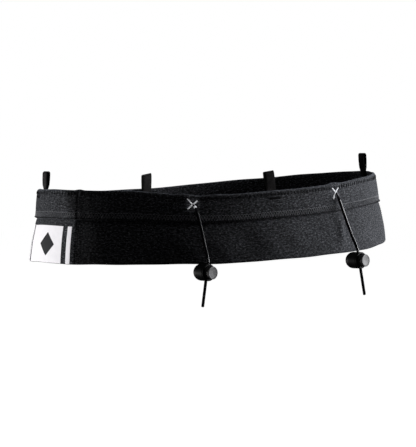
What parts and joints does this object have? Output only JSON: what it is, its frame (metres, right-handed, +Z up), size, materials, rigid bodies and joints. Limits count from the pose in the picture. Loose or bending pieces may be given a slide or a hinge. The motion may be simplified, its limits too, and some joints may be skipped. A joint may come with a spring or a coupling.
{
  "type": "running belt",
  "caption": "Closed stretch-knit running belt with an elastic waistband, a doubled storage pouch, ribbon gel loops, and elastic cords with sprung cord locks for a race bib.",
  "frame": {"origin": "middle of the waist opening, at the mean height of the cloth", "axes": "+Z up out of the waist opening, +X to the wearer's left hip, -Y to the front, where the cords are; the label is on -X"},
  "size_m": [0.3283, 0.2423, 0.1171],
  "materials": {
    "pouch_knit": "matt stretch knit with a fine heather",
    "band_knit": "matt rib knit",
    "elastic_webbing": "woven elastic",
    "loop_ribbon": "woven ribbon with a slight sheen",
    "black_thread": "polyester sewing thread",
    "pale_thread": "pale bartack thread",
    "label_print": "white heat-transfer print, satin",
    "label_mark_print": "dark grey print, satin",
    "elastic_cord": "braided cover over an elastic core",
    "lock_housing": "glossy moulded plastic",
    "lock_plunger": "satin moulded plastic",
    "spring_wire": "bright spring steel"
  },
  "bodies": {
    "root": {"band_coverstitch": "black_thread", "cord_bartack_left": "pale_thread", "cord_bartack_right": "pale_thread", "gel_loop_back": "loop_ribbon", "gel_loop_front": "loop_ribbon", "gel_loop_left": "loop_ribbon", "gel_loop_right": "loop_ribbon", "label_field": "label_print", "label_mark": "label_mark_print", "label_stripe_back": "label_print", "label_stripe_front": "label_print", "loop_bartack_back": "black_thread", "loop_bartack_front": "black_thread", "loop_bartack_left": "black_thread", "loop_bartack_right": "black_thread", "pouch_panel_back": "pouch_knit", "pouch_panel_front": "pouch_knit", "rim_stitch": "black_thread", "side_seam_band_left": "black_thread", "side_seam_band_right": "black_thread", "side_seam_pouch_left": "black_thread", "side_seam_pouch_right": "black_thread", "waistband_back": "band_knit", "waistband_elastic": "elastic_webbing", "waistband_front": "band_knit"},
    "cord_root_left": {"cord_root_left": "elastic_cord"},
    "cord_left": {"cord_left": "elastic_cord"},
    "cord_lock_left": {"cord_lock_housing_left": "lock_housing", "cord_lock_spring_left": "spring_wire"},
    "plunger_left": {"cord_lock_plunger_left": "lock_plunger"},
    "cord_root_right": {"cord_root_right": "elastic_cord"},
    "cord_right": {"cord_right": "elastic_cord"},
    "cord_lock_right": {"cord_lock_housing_right": "lock_housing", "cord_lock_spring_right": "spring_wire"},
    "plunger_right": {"cord_lock_plunger_right": "lock_plunger"}
  },
  "joints": [
    {"name": "cord_swing_left", "type": "hinge", "parent": "root", "child": "cord_root_left", "pos_m": [-0.06942, -0.1023, 0.0123], "axis": [-0.3304, -0.9438, 0], "range_deg": [-12, 12], "deforming": ["cord_root_left"]},
    {"name": "cord_lift_left", "type": "hinge", "parent": "cord_root_left", "child": "cord_left", "pos_m": [-0.06942, -0.1023, 0.0123], "axis": [-0.9438, 0.3304, 0], "range_deg": [0, 75], "deforming": ["cord_left"]},
    {"name": "lock_slide_left", "type": "slide", "parent": "cord_left", "child": "cord_lock_left", "axis": [-0.198, -0.0253, -0.9799], "range_m": [0, 0.018]},
    {"name": "plunger_press_left", "type": "slide", "parent": "cord_lock_left", "child": "plunger_left", "axis": [-0.2456, 0.9691, 0.0246], "range_m": [0, 0.0025], "stiffness_N_per_m": 400, "springref_m": -0.002, "deforming": ["cord_lock_spring_left"]},
    {"name": "cord_swing_right", "type": "hinge", "parent": "root", "child": "cord_root_right", "pos_m": [0.068, -0.10264, 0.01407], "axis": [0.3095, -0.9509, 0], "range_deg": [-12, 12], "deforming": ["cord_root_right"]},
    {"name": "cord_lift_right", "type": "hinge", "parent": "cord_root_right", "child": "cord_right", "pos_m": [0.068, -0.10264, 0.01407], "axis": [-0.9509, -0.3095, 0], "range_deg": [0, 75], "deforming": ["cord_right"]},
    {"name": "lock_slide_right", "type": "slide", "parent": "cord_right", "child": "cord_lock_right", "axis": [0.1712, 0.0557, -0.9837], "range_m": [0, 0.018]},
    {"name": "plunger_press_right", "type": "slide", "parent": "cord_lock_right", "child": "plunger_right", "axis": [-0.3095, 0.9509, 0], "range_m": [0, 0.0025], "stiffness_N_per_m": 400, "springref_m": -0.002, "deforming": ["cord_lock_spring_right"]}
  ]
}
